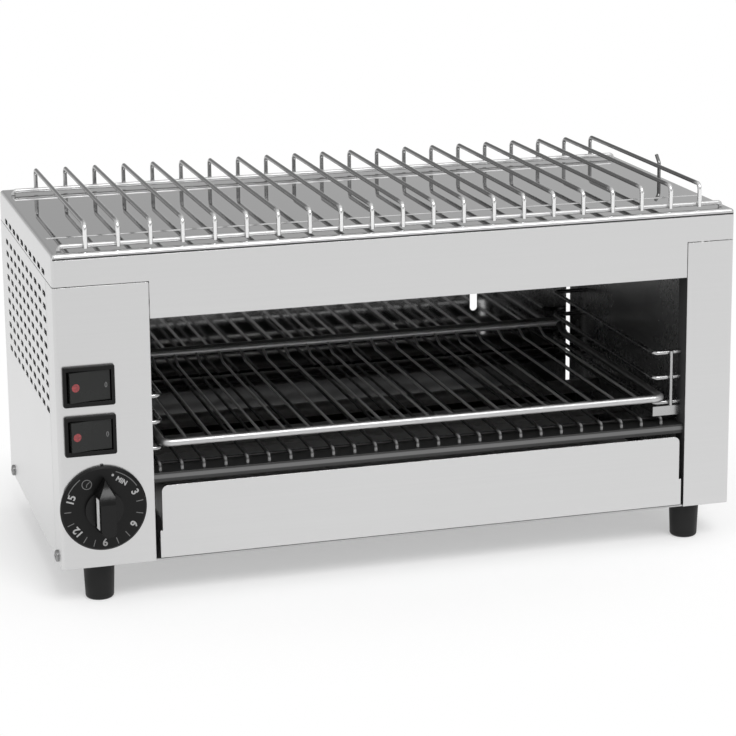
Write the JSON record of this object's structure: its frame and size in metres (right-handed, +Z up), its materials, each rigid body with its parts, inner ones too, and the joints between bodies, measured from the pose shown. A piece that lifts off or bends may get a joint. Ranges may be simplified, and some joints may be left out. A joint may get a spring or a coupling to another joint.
{
  "type": "commercial toaster",
  "caption": "Counter-top quartz toaster: open-fronted oven cavity with a pull-out wire rack and crumb tray, rotary timer, rocker switches and a wire plate grill on top.",
  "frame": {"origin": "on the standing surface, under the middle of the whole toaster's box, knob and gland included", "axes": "+Z up, -Y out of the open front, +X to the right as seen from the front, along the longest side"},
  "size_m": [0.454, 0.2514, 0.2438],
  "materials": {
    "mirror_steel": "mirror polished",
    "brushed_steel": "fine satin, bright",
    "reflector_steel": "mirror polished",
    "plain_steel": "mill finish",
    "chromed_wire": "bright plated",
    "plated_steel": "bright plated",
    "plated_brass": "plated",
    "quartz_glass": "milky, smooth",
    "heating_wire": "oxidised",
    "white_ceramic": "matt",
    "black_rubber": "matt",
    "black_plastic": "satin",
    "gloss_black_plastic": "gloss",
    "red_lens": "clear red",
    "timer_case": "satin",
    "white_plastic": "satin",
    "wire_sleeve": "woven sleeve"
  },
  "bodies": {
    "housing": {"top_cover": "mirror_steel", "control_panel": "brushed_steel", "right_front_panel": "brushed_steel", "left_side_panel": "brushed_steel", "right_side_panel": "brushed_steel", "back_panel": "brushed_steel", "base_pan": "plain_steel", "cavity_left_wall": "reflector_steel", "cavity_right_wall": "reflector_steel", "cavity_back_wall": "reflector_steel", "cavity_roof": "reflector_steel", "heat_shield": "plain_steel", "lower_front_rail": "brushed_steel", "upper_quartz_tube_1": "quartz_glass", "upper_quartz_tube_2": "quartz_glass", "upper_quartz_tube_3": "quartz_glass", "lower_quartz_tube_1": "quartz_glass", "lower_quartz_tube_2": "quartz_glass", "lower_quartz_tube_3": "quartz_glass", "upper_heating_coils": "heating_wire", "lower_heating_coils": "heating_wire", "tube_end_caps": "white_ceramic", "terminal_straps": "plated_brass", "upper_tube_guard": "chromed_wire", "lower_tube_guard": "chromed_wire", "left_runner": "chromed_wire", "right_runner": "chromed_wire", "tray_guides": "plain_steel", "foot_front_left": "black_rubber", "foot_front_right": "black_rubber", "foot_rear_left": "black_rubber", "foot_rear_right": "black_rubber", "foot_screws": "plated_steel", "side_screws": "plated_steel", "back_screws": "plated_steel", "timer_dial": "black_plastic", "timer_nut": "plated_steel", "timer_body": "timer_case", "upper_switch_housing": "black_plastic", "lower_switch_housing": "black_plastic", "side_hook": "chromed_wire", "cord_gland": "black_plastic", "terminal_block": "white_plastic", "earth_stud": "plated_brass", "internal_wires": "wire_sleeve"},
    "toast_rack": {"rack_frame": "chromed_wire", "rack_wires": "chromed_wire", "rack_rear_bar": "chromed_wire"},
    "crumb_tray": {"crumb_tray_front": "brushed_steel", "crumb_tray_pan": "plain_steel"},
    "timer_knob": {"timer_knob": "black_plastic", "timer_shaft": "plated_steel"},
    "upper_rocker": {"upper_rocker": "gloss_black_plastic", "upper_lens": "red_lens"},
    "lower_rocker": {"lower_rocker": "gloss_black_plastic", "lower_lens": "red_lens"},
    "plate_grill": {"grill_wires": "chromed_wire", "grill_front_rod": "chromed_wire", "grill_rear_rod": "chromed_wire"}
  },
  "joints": [
    {"name": "toast_rack_slide", "type": "slide", "parent": "housing", "child": "toast_rack", "axis": [0, -1, 0], "range_m": [0, 0.15]},
    {"name": "crumb_tray_slide", "type": "slide", "parent": "housing", "child": "crumb_tray", "axis": [0, -1, 0], "range_m": [0, 0.18]},
    {"name": "timer_knob_turn", "type": "hinge", "parent": "housing", "child": "timer_knob", "pos_m": [-0.1982, -0.116, 0.0636], "axis": [0, 1, 0], "range_deg": [-33, 289]},
    {"name": "upper_rocker_tilt", "type": "hinge", "parent": "housing", "child": "upper_rocker", "pos_m": [-0.2047, -0.1045, 0.1426], "axis": [0, 0, -1], "range_deg": [0, 18]},
    {"name": "lower_rocker_tilt", "type": "hinge", "parent": "housing", "child": "lower_rocker", "pos_m": [-0.2047, -0.1045, 0.111], "axis": [0, 0, -1], "range_deg": [0, 18]},
    {"name": "plate_grill_lift", "type": "slide", "parent": "housing", "child": "plate_grill", "axis": [0, 0, 1], "range_m": [0, 0.1]}
  ]
}
